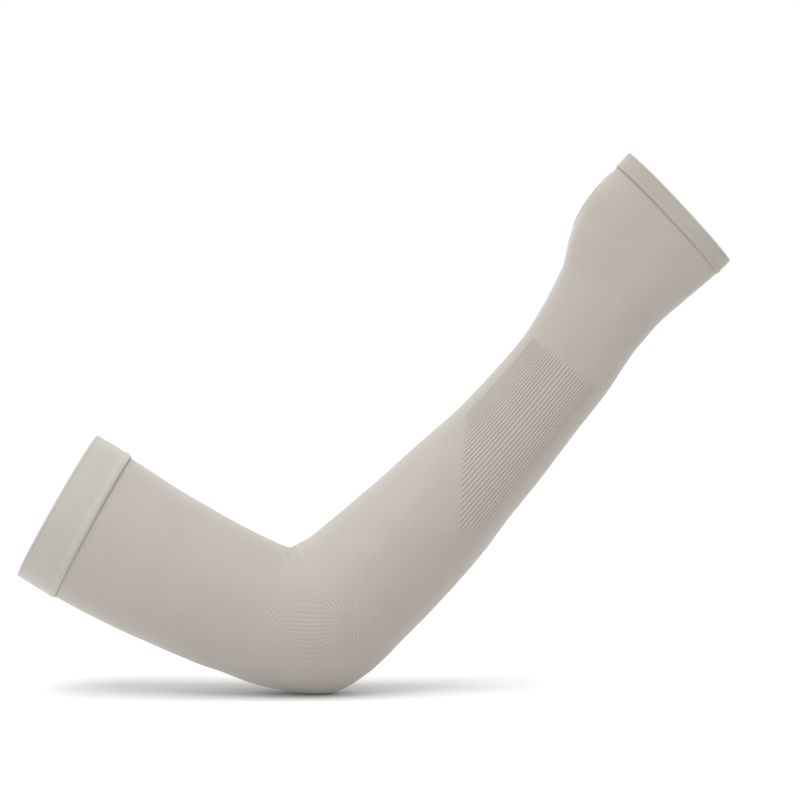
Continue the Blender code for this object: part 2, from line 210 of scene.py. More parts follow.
# %% The table of swells
Swell = namedtuple("Swell", "stretch along around height length spread lean")
SWELLS = (
    Swell("elbow", 0.48, 0, -0.0014, 0.20, 28, 0.0),
    Swell("hand", 0.41, -55, 0.0055, 0.24, 30, 0.0),
    Swell("hand", 0.39, -118, 0.0030, 0.22, 26, 0.0),
    Swell("hand", 0.69, -32, 0.0035, 0.20, 20, 0.0),
    Swell("forearm", 0.00, 0, 0.0017, 0.030, 26, 0.0),
    Swell("elbow", 0.17, 22, -0.0008, 0.050, 14, 0.016),
    Swell("elbow", 0.17, -22, -0.0008, 0.050, 14, -0.016),
)
SOFT_LARGE = 0.00022
SOFT_LARGE_SIZE = 0.026
SOFT_SMALL = 0.00007
SOFT_SMALL_SIZE = 0.008
STRETCH_LENGTH = {stretch.name: stretch.length for stretch in ROUTE}


def swell_at(along, around):
    """How far the cloth stands out from the plain section."""
    height = 0.0
    for swell in SWELLS:
        stretch = STRETCH_LENGTH[swell.stretch]
        turn = (math.degrees(around) - swell.around + 180) % 360 - 180
        middle = along_of(swell.stretch, swell.along + swell.lean * turn)
        forward = (along - middle) / (swell.length * stretch)
        height += swell.height * math.exp(-(forward**2) - (turn / swell.spread) ** 2)
    return height


def softness(point):
    """The slight unevenness of worn knit."""
    large = noise.noise(point / SOFT_LARGE_SIZE)
    small = noise.noise(point / SOFT_SMALL_SIZE)
    return SOFT_LARGE * large + SOFT_SMALL * small


def outline(sizes, around):
    """The plain section at an angle, as (towards the crook, towards the viewer)."""
    crook, back, half_depth, taper, _, square = sizes
    c, s = math.cos(around), math.sin(around)
    reach = crook if c > 0 else back
    power = 2 / square
    x = math.copysign(abs(c) ** power, c) * reach
    y = math.copysign(abs(s) ** power, s) * half_depth * (1 + taper * math.copysign(c * c, c))
    return x, y


def slice_at(along):
    """What every point of one ring shares: its section, place and directions."""
    sizes = section_at(along)
    slant = sizes[4]
    point, heading = route_at(along)
    facing = heading + slant * HEM_SLANT
    forward = Vector((math.cos(facing), 0.0, math.sin(facing)))
    to_crook = Vector((-math.sin(facing), 0.0, math.cos(facing)))
    return sizes, point, forward * (slant * HEM_BOW), to_crook


TO_VIEWER = Vector((0.0, -1.0, 0.0))
STEP_ROUND = math.radians(2.0)


def skin(along, around, out=0.0, ring=None):
    """The point of the sleeve that is that far along, round and out."""
    sizes, point, bow, to_crook = ring or slice_at(along)
    x, y = outline(sizes, around)
    x0, y0 = outline(sizes, around - STEP_ROUND)
    x1, y1 = outline(sizes, around + STEP_ROUND)
    away = Vector((y1 - y0, x0 - x1)).normalized()
    bare = point + bow * math.sin(around) ** 2 + to_crook * x + TO_VIEWER * y
    lift = out + swell_at(along, around) + softness(bare)
    return bare + to_crook * (away.x * lift) + TO_VIEWER * (away.y * lift)


print("crook of the elbow at", tuple(round(v, 4) for v in skin(along_of("elbow", 0.48), 0.0)))

# %% [markdown]
# ## Extruding a ring along the line
# A knitting machine makes the sleeve in rounds, each hooked into the last. The mesh is made the
# same way: a circle of points is extruded edge by edge, and each new ring is laid in its place.
# Two layers on the points remember how far along and round they are, for the knit's map later.

# %% The helpers that extrude rings
FULL_TURN = 2 * math.pi


def new_cloth():
    """An empty mesh whose points know where on the sleeve they lie."""
    mesh = bmesh.new()
    mesh.verts.layers.int.new("column")
    mesh.verts.layers.float.new("around")
    mesh.verts.layers.float.new("along")
    return mesh


def extrude_rings(mesh, angles, rings, place, slice_of=slice_at):
    """Extrudes a circle through rings of (along, out), and returns its first and last loops."""
    column = mesh.verts.layers.int["column"]
    around_layer = mesh.verts.layers.float["around"]
    along_layer = mesh.verts.layers.float["along"]
    made = bmesh.ops.create_circle(mesh, cap_ends=False, segments=len(angles), radius=1.0)
    verts = made["verts"]
    for i, vert in enumerate(verts):
        vert[column] = i
    edges = sorted({e for v in verts for e in v.link_edges}, key=lambda e: e.index)
    first = edges
    for k, (along, out) in enumerate(rings):
        if k:
            grown = bmesh.ops.extrude_edge_only(mesh, edges=edges)["geom"]
            verts = [g for g in grown if isinstance(g, bmesh.types.BMVert)]
            edges = [g for g in grown if isinstance(g, bmesh.types.BMEdge)]
        ring = slice_of(along)
        for vert in verts:
            around = angles[vert[column]]
            vert.co = place(along, around, out, ring)
            vert[around_layer] = around
            vert[along_layer] = along
    return first, edges


def turn_angles(count):
    return [FULL_TURN * i / count for i in range(count)]


def even(start, end, spacing):
    """Places from start up to, but not at, end, about that far apart."""
    count = max(1, round((end - start) / spacing))
    return [start + (end - start) * i / count for i in range(count)]


# %% The helpers that map the knit and make the object
KNIT_MAP = "knit"
TONE = "tone"


def object_from(name, mesh):
    """Turns a finished mesh into an object of the scene."""
    data = bpy.data.meshes.new(name)
    mesh.to_mesh(data)
    mesh.free()
    thing = bpy.data.objects.new(name, data)
    bpy.context.scene.collection.objects.link(thing)
    return thing


def cloth_object(mesh, name, tone=None):
    """Turns a finished cloth mesh into an object. Its map holds (share round, share along)."""
    bmesh.ops.recalc_face_normals(mesh, faces=mesh.faces)
    around_layer = mesh.verts.layers.float["around"]
    along_layer = mesh.verts.layers.float["along"]
    knit = mesh.loops.layers.uv.new(KNIT_MAP)
    tone_layer = mesh.verts.layers.float.new(TONE)
    for vert in mesh.verts:
        vert[tone_layer] = tone(vert[along_layer], vert[around_layer]) if tone else 0.0
    for face in mesh.faces:
        face.smooth = True
        shares = [loop.vert[around_layer] / FULL_TURN for loop in face.loops]
        wraps = max(shares) - min(shares) > 0.5
        for loop, share in zip(face.loops, shares):
            along = loop.vert[along_layer]
            round_share = share + 1.0 if wraps and share < 0.5 else share
            loop[knit].uv = (round_share, along / SLEEVE_LENGTH)
    thing = object_from(name, mesh)
    print(f"{name}: {len(thing.data.vertices)} points, {len(thing.data.polygons)} faces")
    return thing


# %% [markdown]
# ## The ribbed panel
# On the outside of the forearm the knit stands up in thirty fine ribs. They could be bump alone,
# but ribs two millimetres apart catch the light, so they are real relief. The panel ends
# straight at the wrist and slants towards the elbow.

# %% Where the ribs run
RIB_COUNT = 30
RIB_HEIGHT = 0.00060
RIB_FADE = 0.0022
PANEL_FROM = math.radians(33.0)
PANEL_TO = math.radians(136.0)
PANEL_TOP_START = 0.68
PANEL_LOW_START = 0.40
PANEL_BOW = 0.024
PANEL_TURN = 0.806


def smooth_step(share):
    share = min(max(share, 0.0), 1.0)
    return share * share * (3 - 2 * share)


def panel_start(around):
    """Where the ribs begin: a bowed edge that slants down, then turns back near its foot."""
    share = (around - PANEL_FROM) / (PANEL_TO - PANEL_FROM)
    fall = PANEL_TOP_START - PANEL_LOW_START
    if share > PANEL_TURN:
        return along_of("forearm", PANEL_LOW_START + fall * (share - PANEL_TURN))
    t = share / PANEL_TURN
    return along_of("forearm", PANEL_TOP_START - fall * t + PANEL_BOW * 4 * t * (1 - t))


def on_panel(along, around):
    """1 on the ribbed panel and 0 off it, with a soft start and end."""
    if not PANEL_FROM < around < PANEL_TO:
        return 0.0
    into = smooth_step((along - panel_start(around)) / RIB_FADE)
    return into * smooth_step((along_of("hand", 0.0) - along) / RIB_FADE)


def rib_rise(around):
    """1 on a rib's crest and 0 in its troughs."""
    phase = (around - PANEL_FROM) / (PANEL_TO - PANEL_FROM) * RIB_COUNT
    return math.sin(math.pi * phase) ** 2


def rib_painted_light_and_shade(along, around):
    """Painted light on the crests and painted shade in the troughs, over the ribs' real relief."""
    return on_panel(along, around) * (2 * rib_rise(around) - 1)


print(f"ribs {1000 * FOREARM_LENGTH * (1 - PANEL_LOW_START):.0f} mm long at most")

# %% [markdown]
# ## The knitted tube
# The outside needs many rings where the ribs and folds are; the inside is smooth and needs few.
# Solidify would give both walls the same rings, so one circle is extruded along the outside
# and back along the inside, and its last ring is bridged to its first.

# %% Extrude the outside and the inside
WALL = 0.0012
POINTS_A_RIB = 6
PLAIN_STEP = math.radians(2.2)
LINING_EVERY = 3
UPPER_ARM_RING = 0.0033
ELBOW_RING = 0.0010
FOREARM_RING = 0.0030
RIBBED_RING = 0.0020
HAND_RING = 0.0026
CUFF_WIDTH = 0.0264
CUFF_RIDGE_WIDTH = 0.0052
HEM_WIDTH = 0.0120
HEM_RIDGE_WIDTH = 0.0030
GAP = 0.0003

panel_angles = [
    PANEL_FROM + (PANEL_TO - PANEL_FROM) * k / (RIB_COUNT * POINTS_A_RIB)
    for k in range(RIB_COUNT * POINTS_A_RIB)
]
plain_angles = even(PANEL_TO, PANEL_FROM + FULL_TURN, PLAIN_STEP)
tube_angles = sorted(panel_angles + [a % FULL_TURN for a in plain_angles])
tube_start = CUFF_WIDTH - CUFF_RIDGE_WIDTH + GAP
tube_end = SLEEVE_LENGTH - HEM_WIDTH + HEM_RIDGE_WIDTH - GAP
elbow_start, forearm_start, hand_start = (
    along_of(name, 0.0) for name in ("elbow", "forearm", "hand")
)
ribs_start = along_of("forearm", PANEL_LOW_START) - RIB_FADE
tube_stations = (
    even(tube_start, elbow_start, UPPER_ARM_RING)
    + even(elbow_start, forearm_start, ELBOW_RING)
    + even(forearm_start, ribs_start, FOREARM_RING)
    + even(ribs_start, hand_start + RIB_FADE, RIBBED_RING)
    + even(hand_start + RIB_FADE, tube_end, HAND_RING)
    + [tube_end]
)


def ribbed_skin(along, around, out, ring):
    """The skin with its ribs, which only the outside has."""
    rise = RIB_HEIGHT * on_panel(along, around) * rib_rise(around) if out == 0.0 else 0.0
    return skin(along, around, out + rise, ring)


lining_stations = [tube_end] + tube_stations[-2 - LINING_EVERY:0:-LINING_EVERY] + [tube_start]
wall_rings = [(s, 0.0) for s in tube_stations] + [(s, -WALL) for s in lining_stations]
tube = new_cloth()
first, last = extrude_rings(tube, tube_angles, wall_rings, ribbed_skin)
bmesh.ops.bridge_loops(tube, edges=first + last)
# The tube's tone layer holds the ribs' painted light and shade.
knit_sleeve = cloth_object(tube, "knit_sleeve", rib_painted_light_and_shade)

# %% [markdown]
# ## The thumb hole
# The real hole is a slit that the thumb pulls into an oval, just behind the hem on the thumb's
# side. Removing faces would leave a jagged edge, so an oval prism cuts it with an exact Boolean,
# which leaves a clean rim for the binding.

# %% Cut the hole
THUMB_HOLE_LENGTH = 0.042
THUMB_HOLE_WIDTH = 0.027
THUMB_HOLE_AROUND = math.radians(-27.0)
THUMB_HOLE_TO_HEM = 0.0015
BINDING_DIAMETER = 0.0020
CUTTER_POINTS = 96
CUTTER_SINK = THUMB_HOLE_WIDTH * 0.45
CUTTER_HEIGHT = THUMB_HOLE_WIDTH * 0.95
PROBE_ALONG = 0.004
PROBE_ROUND = math.radians(4.0)

Hole = namedtuple("Hole", "centre along across out")


def thumb_hole():
    """The hole's centre on the knit, and its directions."""
    seam = SLEEVE_LENGTH - HEM_WIDTH
    half = THUMB_HOLE_LENGTH / 2 + BINDING_DIAMETER + THUMB_HOLE_TO_HEM
    pace = (skin(seam, THUMB_HOLE_AROUND) - skin(seam - half, THUMB_HOLE_AROUND)).length
    at = seam - half * half / pace
    around = THUMB_HOLE_AROUND
    along = skin(at + PROBE_ALONG, around) - skin(at - PROBE_ALONG, around)
    across = skin(at, around + PROBE_ROUND) - skin(at, around - PROBE_ROUND)
    centre = skin(at, around)
    along.normalize()
    out = across.cross(along).normalized()
    across = along.cross(out).normalized()
    if out.dot(centre - route_at(at)[0]) < 0:
        out = -out
    return Hole(centre, along, across, out)


def oval_point(hole, grow, angle):
    """A point of the hole's oval, grown all round, on the plane that touches its centre."""
    lengthwise = hole.along * ((THUMB_HOLE_LENGTH / 2 + grow) * math.cos(angle))
    sideways = hole.across * ((THUMB_HOLE_WIDTH / 2 + grow) * math.sin(angle))
    return hole.centre + lengthwise + sideways


hole = thumb_hole()
prism = bmesh.new()
made = bmesh.ops.create_circle(prism, cap_ends=True, segments=CUTTER_POINTS, radius=1.0)
for i, vert in enumerate(made["verts"]):
    on_plane = oval_point(hole, BINDING_DIAMETER / 2 + GAP, FULL_TURN * i / CUTTER_POINTS)
    vert.co = on_plane - hole.out * CUTTER_SINK
raised = bmesh.ops.extrude_face_region(prism, geom=prism.faces[:])
tops = [g for g in raised["geom"] if isinstance(g, bmesh.types.BMVert)]
bmesh.ops.translate(prism, verts=tops, vec=hole.out * CUTTER_HEIGHT)
bmesh.ops.recalc_face_normals(prism, faces=prism.faces)
cutter = object_from("thumb_cutter", prism)

surface_tree = BVHTree.FromPolygons(
    [v.co.copy() for v in knit_sleeve.data.vertices],
    [tuple(p.vertices) for p in knit_sleeve.data.polygons],
)
cut = knit_sleeve.modifiers.new("thumb_hole", "BOOLEAN")
cut.operation = "DIFFERENCE"
cut.object = cutter
shown = knit_sleeve.evaluated_get(bpy.context.evaluated_depsgraph_get())
pierced = bpy.data.meshes.new_from_object(shown)
knit_sleeve.modifiers.clear()
knit_sleeve.data = pierced
knit_sleeve.data.name = "knit_sleeve"
bpy.data.objects.remove(cutter)
print(f"knit after the cut: {len(pierced.vertices)} points, {len(pierced.polygons)} faces")

# %% [markdown]
# ## The rolled edge of the thumb hole
# Cut jersey curls towards its face, and here the edge is rolled and bound into a thin cord, whose
# paler colour is a painted highlight.
# A curve with a bevel would be perfectly round and even; a small ring extruded round the oval can
# swell and pinch a little, as a bound edge does.

# %% Extrude the binding round the hole
BINDING_STATIONS = 120
BINDING_SIDES = 14
BINDING_UNEVEN = 0.06
BINDING_STITCHES = 34


def rim_point(angle):
    """A point in the middle of the knit's wall, on the hole's oval."""
    start = oval_point(hole, 0.0, angle) + hole.out * THUMB_HOLE_WIDTH
    hit = surface_tree.ray_cast(start, -hole.out)[0]
    return hit - hole.out * (WALL / 2)


def rim_slice(along):
    """The cord's middle at one place of the rim, and its two spokes across."""
    angle = FULL_TURN * along / SLEEVE_LENGTH
    here, ahead = rim_point(angle), rim_point(angle + FULL_TURN / BINDING_STATIONS)
    way = (ahead - here).normalized()
    side = way.cross(hole.out).normalized()
    up = side.cross(way).normalized()
    swelling = 1 - BINDING_UNEVEN * (1 + math.cos(BINDING_STITCHES * angle)) / 2
    radius = BINDING_DIAMETER / 2 * swelling
    return here, side * radius, up * radius


def on_binding(along, around, out, ring):
    """The point of the cord that is that far round it. Its slice holds the rest."""
    middle, side, up = ring
    return middle + side * math.cos(around) + up * math.sin(around)


binding = new_cloth()
binding_rings = [(SLEEVE_LENGTH * k / BINDING_STATIONS, 0.0) for k in range(BINDING_STATIONS)]
first, last = extrude_rings(
    binding, turn_angles(BINDING_SIDES), binding_rings, on_binding, rim_slice
)
bmesh.ops.bridge_loops(binding, edges=first + last)
rolled_edge = cloth_object(binding, "rolled_edge")

# %% [markdown]
# ## The cuff and the hem
# Both edges are the knit turned back on itself, a band with a soft ridge where it is joined to the
# tube. A band is one section swept round, so its outline is listed once as (how far from the
# edge, how far out), and a ring is extruded through the list. The knit's end sits in a groove of
# the ridge, so that no gap shows.

# %% The section of a band
CUFF_THICKNESS = 0.0026
CUFF_RIDGE = 0.0021
HEM_THICKNESS = 0.0022
HEM_RIDGE = 0.0008
LAYER = 0.0009
BAND_COLUMNS = 240
BAND_CROWN = 0.0001
FACE_STEPS = 10
BACK_STEPS = 4
LIP_STEPS = 12
LIP_SHARE = 0.42
VALLEY_SHARE = 0.12
RISE_SHARE = 0.16
RISE_HEIGHT = 0.94
SHOULDER_SHARE = 0.46


def quarter(centre, reach, start, end, steps=6):
    """Points on a quarter of an ellipse, for a section's rounded edges."""
    turns = [math.radians(start + (end - start) * i / steps) for i in range(steps + 1)]
    return [(centre[0] + reach[0] * math.cos(t), centre[1] + reach[1] * math.sin(t)) for t in turns]


def band_section(width, thickness, ridge, ridge_width):
    """The section of a folded band, once round: its face, the ridge, the groove and the lip."""
    outer = ridge - LAYER / 2
    inner = outer - thickness
    seam = width - ridge_width
    lining = min(inner, -WALL - GAP - LAYER)
    fold = thickness * LIP_SHARE
    face = [
        (
            fold + (seam - fold) * i / FACE_STEPS,
            outer + BAND_CROWN * math.sin(math.pi * i / FACE_STEPS),
        )
        for i in range(1, FACE_STEPS)
    ]
    valley = [
        (seam - ridge_width * VALLEY_SHARE, outer - LAYER * VALLEY_SHARE),
        (seam + ridge_width * RISE_SHARE, ridge * RISE_HEIGHT),
    ]
    shoulder = seam + ridge_width * SHOULDER_SHARE
    roll = quarter((shoulder, GAP), (width - shoulder, ridge - GAP), 90, 8)
    groove = [
        (seam, GAP),
        (seam, -WALL - GAP),
        (width, -WALL - GAP),
        (width, lining),
        (seam, lining),
    ]
    back = [
        (
            seam + (fold - seam) * i / BACK_STEPS,
            inner + (lining - inner) * (1 - i / BACK_STEPS) ** 2,
        )
        for i in range(1, BACK_STEPS)
    ]
    middle = (fold, (outer + inner) / 2)
    lip = quarter(middle, (fold, (outer - inner) / 2), 270, 90, LIP_STEPS)
    return face + valley + roll + groove + back + lip


cuff_section = band_section(CUFF_WIDTH, CUFF_THICKNESS, CUFF_RIDGE, CUFF_RIDGE_WIDTH)
hem_section = band_section(HEM_WIDTH, HEM_THICKNESS, HEM_RIDGE, HEM_RIDGE_WIDTH)
print(f"the cuff's section has {len(cuff_section)} points, the hem's {len(hem_section)}")

# %% Sweep the cuff and the hem
RIDGE_FADE = 0.24


def cuff_skin(along, around, out, ring):
    """The cuff's seam stands highest at the crook's side and lies flatter below."""
    if out > GAP:
        out = GAP + (out - GAP) * (1 - RIDGE_FADE + RIDGE_FADE * math.cos(around))
    return skin(along, around, out, ring)


def sweep_band(name, edge, into, section, place):
    """Sweeps a closed section round the sleeve from one of its ends."""
    band = new_cloth()
    rings = [(edge + into * s, out) for s, out in section]
    first, last = extrude_rings(band, turn_angles(BAND_COLUMNS), rings, place)
    bmesh.ops.bridge_loops(band, edges=first + last)
    return cloth_object(band, name)


folded_cuff = sweep_band("folded_cuff", 0.0, 1, cuff_section, cuff_skin)
turned_hem = sweep_band("turned_hem", SLEEVE_LENGTH, -1, hem_section, skin)

# %% [markdown]
# ## Writing shader maths as sums
# A knit's look is mostly arithmetic on its map: which wale, which course, how far into a stitch.
# Wiring that by hand takes dozens of Math nodes. Here a small class wraps a node's output and
# adds the nodes when Python adds, subtracts or multiplies it, so a formula reads as a formula.

# %% Field and Finish
SHEEN = 0.55
SHEEN_ROUGHNESS = 0.45
ROUGHNESS = 0.86
SPECULAR = 0.25


class Field:
    """A value that varies over a surface. Python's operators add the Math nodes."""

    def __init__(self, finish, socket):
        self.finish = finish
        self.socket = socket

    def maths(self, operation, *others):
        """A Math node that works on this field first, and then on the others."""
        values = dict(enumerate((self, *others)))
        return self.finish.node("ShaderNodeMath", {"operation": operation}, values)

    def __add__(self, other):
        return self.maths("ADD", other)

    __radd__ = __add__

    def __sub__(self, other):
        return self.maths("SUBTRACT", other)

    def __rsub__(self, other):
        return self.finish.node("ShaderNodeMath", {"operation": "SUBTRACT"}, {0: other, 1: self})

    def __mul__(self, other):
        return self.maths("MULTIPLY", other)

    __rmul__ = __mul__

    def __abs__(self):
        return self.maths("ABSOLUTE")


class Finish:
    """A material whose nodes are added one expression at a time."""

    def __init__(self, name):
        self.material = bpy.data.materials.new(name)
        self.material.use_nodes = True
        self.tree = self.material.node_tree
        self.surface = self.tree.nodes["Principled BSDF"]
        self.surface.inputs["Sheen Weight"].default_value = SHEEN
        self.surface.inputs["Sheen Roughness"].default_value = SHEEN_ROUGHNESS
        self.surface.inputs["Roughness"].default_value = ROUGHNESS
        self.surface.inputs["Specular IOR Level"].default_value = SPECULAR

    def node(self, kind, settings=None, values=None, output=0):
        """Adds a node, with its settings first and then its sockets, and returns an output."""
        made = self.tree.nodes.new(kind)
        for key, value in (settings or {}).items():
            setattr(made, key, value)
        for key, value in (values or {}).items():
            if isinstance(value, Field):
                self.tree.links.new(value.socket, made.inputs[key])
            else:
                made.inputs[key].default_value = value
        return Field(self, made.outputs[output])

    def feed(self, socket, field):
        self.tree.links.new(field.socket, self.surface.inputs[socket])


def wave(field):
    """A sine that repeats each time the field grows by 1, from -1 to 1."""
    return (field * FULL_TURN).maths("SINE")


def ridge_at(field, centre, half_width):
    """1 on a line where the field is centre, falling smoothly to 0 at half_width from it."""
    off = (field - centre) * (1 / half_width)
    return (1.0 - off * off).maths("MAXIMUM", 0.0)


def limited(field):
    """The field, kept from 0 to 1."""
    return field.maths("MAXIMUM", 0.0).maths("MINIMUM", 1.0)


def parts_of(vector):
    """The three numbers of a vector."""
    node = vector.finish.node("ShaderNodeSeparateXYZ", None, {0: vector}).socket.node
    return [Field(vector.finish, node.outputs[i]) for i in range(3)]


def place_on(finish):
    """Where a point lies on the piece, in metres."""
    return finish.node("ShaderNodeTexCoord", None, None, output=3)


def round_and_along(finish):
    """How far round a point lies, as a share, and how far along, in metres."""
    mapped = parts_of(finish.node("ShaderNodeUVMap", {"uv_map": KNIT_MAP}))
    return mapped[0], mapped[1] * SLEEVE_LENGTH


def crook_side(finish):
    """1 on the crook's and thumb's side, 0 on the back."""
    return 0.5 + 0.5 * (round_and_along(finish)[0] * FULL_TURN).maths("COSINE")


def speckle(finish, vector, scale, detail):
    """Noise from -1 to 1."""
    values = {"Vector": vector, "Scale": scale, "Detail": detail}
    return finish.node("ShaderNodeTexNoise", None, values) * 2.0 - 1.0


def blend_colours(finish, share, low, high):
    """The dark colour where the share is 0 and the light one where it is 1."""
    values = {0: share, 6: (*low, 1.0), 7: (*high, 1.0)}
    return finish.node("ShaderNodeMix", {"data_type": "RGBA"}, values, output=2)


print("the shader helpers are ready")

# %% [markdown]
# ## The knit's finish
# Fine stretch jersey is matt, with a soft glow at its edges. Close to, wales run lengthwise and
# courses round. Farther off the stitches melt into an even, warm grey, slightly cloudy.
# Every finish here starts from one tone, 0 for the dark yarn and 1 for the light, and adds to it.

# %% Stitches and the base of every knit
WALES_A_RIB = 3
WALES = round(WALES_A_RIB * RIB_COUNT * FULL_TURN / (PANEL_TO - PANEL_FROM))
COURSE = 0.00085
STITCH_HEIGHT = 0.00016
STITCH_TONE = 0.15
STITCH_BUMP = 0.55
WALE_FALL = 3.4
WALE_SHARE = 0.62
PLAIT_LEAN = 1.2
PLAIT_SHARE = 0.19
CLOUDS = 0.07
CLOUDS_SCALE = 42.0
GRAIN = 0.05
GRAIN_SCALE = 1100.0
TROUGH_ROUGHNESS = 0.90
CREST_POLISH = 0.08


def stitches(finish):
    """The height of the knit's stitches, from 0 to 1: plaited wales, stepped by courses."""
    round_share, along = round_and_along(finish)
    wale = round_share * float(WALES)
    within = abs(wale.maths("FRACT") - 0.5)
    rounded = 1.0 - within * within * WALE_FALL
    plait = wave(along * (1 / COURSE) + within * PLAIT_LEAN)
    return rounded * WALE_SHARE + plait * PLAIT_SHARE + PLAIT_SHARE


def knit_finish(name, low, high, pattern=None):
    """A jersey finish. pattern gives what the piece's own features add to the tone."""
    finish = Finish(name)
    height = stitches(finish)
    place = place_on(finish)
    tone = 0.5 + (height - 0.5) * STITCH_TONE
    tone = tone + speckle(finish, place, CLOUDS_SCALE, 3.0) * CLOUDS
    tone = tone + speckle(finish, place, GRAIN_SCALE, 1.0) * GRAIN
    if pattern:
        tone = tone + pattern(finish)
    finish.feed("Base Color", blend_colours(finish, tone, low, high))
    finish.feed("Roughness", TROUGH_ROUGHNESS - height * CREST_POLISH)
    bump_values = {"Strength": STITCH_BUMP, "Distance": STITCH_HEIGHT, "Height": height}
    finish.feed("Normal", finish.node("ShaderNodeBump", None, bump_values))
    return finish.material


print(f"{WALES} wales round, {SLEEVE_LENGTH / COURSE:.0f} courses along")

# %% [markdown]
# ## Where stretched stitches beat
# On the elbow's flanks the knit is spread in a fan, and its rows show as a round patch of faint
# lens-shaped bands, ringed by finer arcs. The back of the hand has a few level rows of the same
# kind. Modelling each row would take millions of faces; a wave on the piece's own place, faded
# to nothing at the patch's rim, gives the same look from both sides. A slow noise bends the
# rows and breaks the arcs up, since worn knit never stretches quite evenly.

# %% The patches
BANDS_CENTRE = (0.1565, -0.0715)
BANDS_REACH = 0.0290
BANDS_SPACING = 0.0031
BANDS_CURL = 0.75
BANDS_FADE = 1.25
BANDS_DRIFT = 0.20
BANDS_TONE = 0.10
ARCS_START = BANDS_REACH * 0.4
ARCS_REACH = 0.0340
ARCS_SPACING = 0.0018
ARCS_SIDES = 1.3
ARCS_DRIFT = 0.35
ARCS_TONE = 0.21
DRIFT_SCALE = 28.0
BREAKS_SCALE = 95.0
BREAKS_DEPTH = 2.6
BREAKS_LEVEL = 0.55
ROWS_CENTRE = (0.3500, 0.1720)
ROWS_REACH = (0.0170, 0.0240)
ROWS_SPACING = 0.0019
ROWS_TONE = 0.09


def elbow_bands(finish):
    """The lens-shaped bands and the arcs round them, added to the tone."""
    place = place_on(finish)
    x, _, z = parts_of(place)
    x = (x - BANDS_CENTRE[0]) * (1 / BANDS_REACH)
    z = (z - BANDS_CENTRE[1]) * (1 / BANDS_REACH)
    radius = (x * x + z * z).maths("SQRT")
    drift = speckle(finish, place, DRIFT_SCALE, 0.0)
    curl = (1.0 + x * x * BANDS_CURL) * (BANDS_REACH / BANDS_SPACING)
    bands = wave((z + drift * BANDS_DRIFT) * curl)
    inside = limited(BANDS_FADE - radius * BANDS_FADE)
    arcs = wave((radius + drift * ARCS_DRIFT) * (BANDS_REACH / ARCS_SPACING))
    middle = (ARCS_START + ARCS_REACH) / 2 / BANDS_REACH
    spread = (ARCS_REACH - ARCS_START) / 2 / BANDS_REACH
    sides = (abs(x) * ARCS_SIDES).maths("MINIMUM", 1.0)
    unbroken = limited(speckle(finish, place, BREAKS_SCALE, 1.0) * BREAKS_DEPTH + BREAKS_LEVEL)
    arcs = arcs * ridge_at(radius, middle, spread) * sides * unbroken
    return bands * inside * BANDS_TONE + arcs * ARCS_TONE


def hand_rows(finish):
    """A few level rows on the back of the hand, added to the tone."""
    x, _, z = parts_of(place_on(finish))
    across = (x - ROWS_CENTRE[0]) * (1 / ROWS_REACH[0])
    up = (z - ROWS_CENTRE[1]) * (1 / ROWS_REACH[1])
    near = (1.0 - (across * across + up * up)).maths("MAXIMUM", 0.0)
    return wave(z * (1 / ROWS_SPACING)) * near * ROWS_TONE


print(f"bands {BANDS_SPACING * 1000:.1f} mm apart, arcs {ARCS_SPACING * 1000:.1f} mm")

# %% The tube's finish
# How strongly the ribs' painted light and shade show in the tube's colour.
RIB_PAINTED_LIGHT_TONE = 0.25
KNIT_LOW = (0.212, 0.194, 0.172)
KNIT_HIGH = (0.424, 0.390, 0.350)

Line = namedtuple("Line", "at half_width tone")
# Painted shade: a soft dark line on the tube just past the cuff and just before the hem, strongest
# on the crook's side.
TUBE_SEAM_PAINTED_SHADE = (
    Line(CUFF_WIDTH + 0.0002, 0.0011, -0.22),
    Line(SLEEVE_LENGTH - HEM_WIDTH - 0.0003, 0.0011, -0.30),
)


def lines_across(field, lines):
    """The tone of a few soft lines, light or dark, each where the field has its value."""
    return sum(ridge_at(field, line.at, line.half_width) * line.tone for line in lines)


def sleeve_pattern(finish):
    """Painted light and shade on the ribs, the patches, and painted shade beside the two seams, all
    for the tube.
    """
    ribs = finish.node("ShaderNodeAttribute", {"attribute_name": TONE}, None, output=2)
    seams = lines_across(round_and_along(finish)[1], TUBE_SEAM_PAINTED_SHADE) * crook_side(finish)
    return ribs * RIB_PAINTED_LIGHT_TONE + elbow_bands(finish) + hand_rows(finish) + seams


knit_material = knit_finish("jersey_knit", KNIT_LOW, KNIT_HIGH, sleeve_pattern)
print("the tube's finish has", len(knit_material.node_tree.nodes), "nodes")

# %% [markdown]
# ## The cuff, the hem and the thumb hole's edge
# The cuff is a doubled, slightly greyer knit whose rows run round, so it shows fine streaks.
# Both bands end in a fold, with a painted highlight along it and a faint painted shade beside it,
# and the cuff's seam ridge carries a painted highlight. The lines are measured from the edge on the
# piece's own map.

# %% The edges' finishes
STREAKS_ROUND = 5.0
STREAKS_ALONG = 1500.0
STREAKS_TONE = 0.10
CUFF_LOW = (0.234, 0.223, 0.196)
CUFF_HIGH = (0.438, 0.419, 0.373)
HEM_LOW = (0.206, 0.191, 0.167)
HEM_HIGH = (0.412, 0.385, 0.343)
# The thumb hole's cord is the knit's colour made lighter, as a painted highlight.
EDGE_PAINTED_HIGHLIGHT_LOW = (0.30, 0.28, 0.245)
EDGE_PAINTED_HIGHLIGHT_HIGH = (0.54, 0.51, 0.455)
# Painted light on the cuff: a highlight along its fold, painted shade beside it, and a soft
# highlight on its seam ridge.
CUFF_PAINTED_LIGHT_LINES = (
    Line(0.0003, 0.0011, 0.16),
    Line(0.0019, 0.0008, -0.13),
    Line(CUFF_WIDTH - CUFF_RIDGE_WIDTH * 0.45, CUFF_RIDGE_WIDTH * 0.5, 0.05),
)
